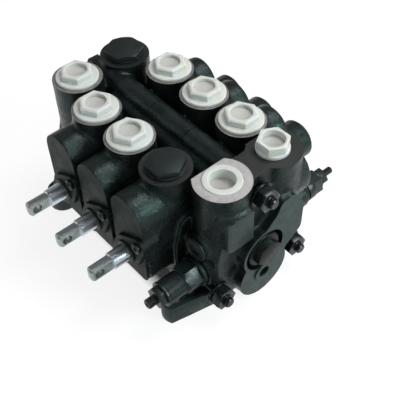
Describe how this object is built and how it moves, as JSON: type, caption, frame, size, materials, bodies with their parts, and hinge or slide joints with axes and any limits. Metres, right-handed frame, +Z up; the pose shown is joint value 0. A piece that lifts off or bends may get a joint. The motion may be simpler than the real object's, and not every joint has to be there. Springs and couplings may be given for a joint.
{
  "type": "sectional hydraulic directional control valve",
  "caption": "Stacked-section hydraulic spool valve: sliding spools with tongues, spring caps, capped top ports, tie rods, relief valves and cast mounting feet.",
  "frame": {"origin": "middle of the overall box, on the plane the mounting feet stand on", "axes": "+X along the stack towards the inlet section, +Y along the spools towards the spring caps, +Z up"},
  "size_m": [0.222, 0.2212, 0.1316],
  "materials": {
    "black_casting_paint": "satin black paint over cast iron, fine cast grain",
    "spring_cap_paint": "satin black paint over turned steel",
    "spool_chrome": "ground hard chrome",
    "bright_steel": "turned",
    "spring_steel": "oiled",
    "seal_rubber": "smooth black",
    "retainer_steel": "black, slightly worn",
    "screw_steel": "dark zinc plated",
    "white_cap_plastic": "translucent white polyethylene",
    "black_plug_steel": "satin black",
    "black_steel": "black over zinc plated steel",
    "relief_steel": "black over turned steel",
    "adjuster_steel": "dark oxide"
  },
  "bodies": {
    "valve_block": {"carry_over_plug": "black_plug_steel", "centring_spring_1": "spring_steel", "centring_spring_2": "spring_steel", "centring_spring_3": "spring_steel", "check_valve_plug": "black_plug_steel", "fixed_spring_seat_1": "bright_steel", "fixed_spring_seat_2": "bright_steel", "fixed_spring_seat_3": "bright_steel", "front_relief_cartridge": "relief_steel", "front_relief_collar": "seal_rubber", "front_relief_lock_nut": "relief_steel", "front_relief_lock_washer": "relief_steel", "gallery_plug": "black_plug_steel", "inlet_port_plug": "white_cap_plastic", "inlet_section": "black_casting_paint", "outlet_end_section": "black_casting_paint", "port_cap_front_1": "white_cap_plastic", "port_cap_front_2": "white_cap_plastic", "port_cap_rear_1": "white_cap_plastic", "port_cap_rear_2": "white_cap_plastic", "port_cap_rear_3": "white_cap_plastic", "port_cap_return": "white_cap_plastic", "port_cap_tank": "white_cap_plastic", "port_plug_front_3": "black_plug_steel", "port_plug_seal_rings": "seal_rubber", "rear_relief_cartridge": "relief_steel", "rear_relief_collar": "seal_rubber", "rear_relief_lock_nut": "relief_steel", "rear_relief_lock_washer": "relief_steel", "spool_wiper_1": "seal_rubber", "spool_wiper_2": "seal_rubber", "spool_wiper_3": "seal_rubber", "spring_cap_1": "spring_cap_paint", "spring_cap_2": "spring_cap_paint", "spring_cap_3": "spring_cap_paint", "spring_cap_screws": "screw_steel", "tie_rod_nuts": "black_steel", "tie_rod_washers": "black_steel", "tie_rods": "black_steel", "wiper_retainer_1": "retainer_steel", "wiper_retainer_2": "retainer_steel", "wiper_retainer_3": "retainer_steel", "wiper_retainer_screws": "screw_steel", "work_section_1": "black_casting_paint", "work_section_2": "black_casting_paint", "work_section_3": "black_casting_paint"},
    "spool_1_assembly": {"spool_1": "spool_chrome", "stop_bolt_1": "bright_steel", "moving_spring_seat_1": "bright_steel"},
    "spool_2_assembly": {"spool_2": "spool_chrome", "stop_bolt_2": "bright_steel", "moving_spring_seat_2": "bright_steel"},
    "spool_3_assembly": {"spool_3": "spool_chrome", "stop_bolt_3": "bright_steel", "moving_spring_seat_3": "bright_steel"},
    "front_adjuster": {"front_relief_adjuster": "adjuster_steel"},
    "rear_adjuster": {"rear_relief_adjuster": "adjuster_steel"}
  },
  "joints": [
    {"name": "spool_1_stroke", "type": "slide", "parent": "valve_block", "child": "spool_1_assembly", "axis": [0, 1, 0], "range_m": [-0.007, 0.007], "stiffness_N_per_m": 12000, "deforming": ["centring_spring_1"]},
    {"name": "spool_2_stroke", "type": "slide", "parent": "valve_block", "child": "spool_2_assembly", "axis": [0, 1, 0], "range_m": [-0.007, 0.007], "stiffness_N_per_m": 12000, "deforming": ["centring_spring_2"]},
    {"name": "spool_3_stroke", "type": "slide", "parent": "valve_block", "child": "spool_3_assembly", "axis": [0, 1, 0], "range_m": [-0.007, 0.007], "stiffness_N_per_m": 12000, "deforming": ["centring_spring_3"]},
    {"name": "front_relief_setting", "type": "hinge", "parent": "valve_block", "child": "front_adjuster", "pos_m": [0.0783, -0.088, 0.041], "axis": [0, 1, 0], "range_deg": [-540, 540]},
    {"name": "rear_relief_setting", "type": "hinge", "parent": "valve_block", "child": "rear_adjuster", "pos_m": [0.0783, 0.107, 0.047], "axis": [0, 1, 0], "range_deg": [-540, 540]}
  ]
}
